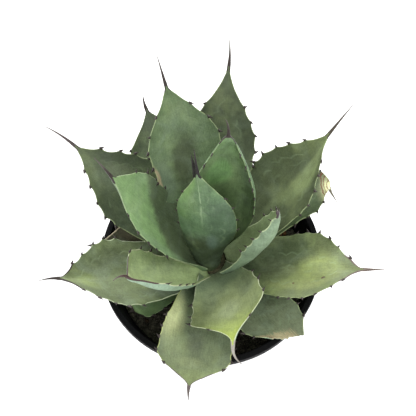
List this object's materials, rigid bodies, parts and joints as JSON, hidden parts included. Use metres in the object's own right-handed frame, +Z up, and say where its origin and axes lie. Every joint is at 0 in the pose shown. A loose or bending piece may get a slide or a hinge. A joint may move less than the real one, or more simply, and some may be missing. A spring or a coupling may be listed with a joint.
{
  "type": "potted agave",
  "caption": "Rosette of broad, toothed, spine-tipped succulent leaves growing from a short stem in a round black nursery pot filled with dark potting mix.",
  "frame": {"origin": "middle of the pot's base, on the surface it stands on", "axes": "+Z up, +Y towards the back, +X to the right as seen from the front"},
  "size_m": [0.2466, 0.2549, 0.2369],
  "materials": {
    "pot_plastic": "satin black, lightly scuffed",
    "potting_mix": "loose, damp, nearly black, with bark chips",
    "stem_tissue": "dull, fibrous",
    "inner_leaf": "waxy blue-green with a pale margin and dark teeth",
    "middle_leaf": "waxy grey-green with a pale margin and dark teeth",
    "outer_leaf": "waxy yellow-green with dark teeth",
    "dry_leaf": "dry, brown, wrinkled"
  },
  "bodies": {
    "root": {"pot": "pot_plastic", "soil": "potting_mix", "stem": "stem_tissue", "bud": "inner_leaf", "heart_leaf": "inner_leaf", "inner_leaf_back": "inner_leaf", "inner_leaf_left": "inner_leaf", "inner_leaf_right": "inner_leaf", "inner_leaf_front_left": "inner_leaf", "middle_leaf_back": "middle_leaf", "middle_leaf_back_left": "middle_leaf", "middle_leaf_back_right": "middle_leaf", "middle_leaf_left": "middle_leaf", "middle_leaf_front": "outer_leaf", "outer_leaf_back": "middle_leaf", "outer_leaf_left": "outer_leaf", "outer_leaf_right": "outer_leaf", "outer_leaf_front": "outer_leaf", "bent_leaf_right": "outer_leaf", "torn_leaf_front_right": "outer_leaf", "short_leaf_front_left": "outer_leaf", "dead_leaf_left": "dry_leaf"}
  },
  "joints": []
}
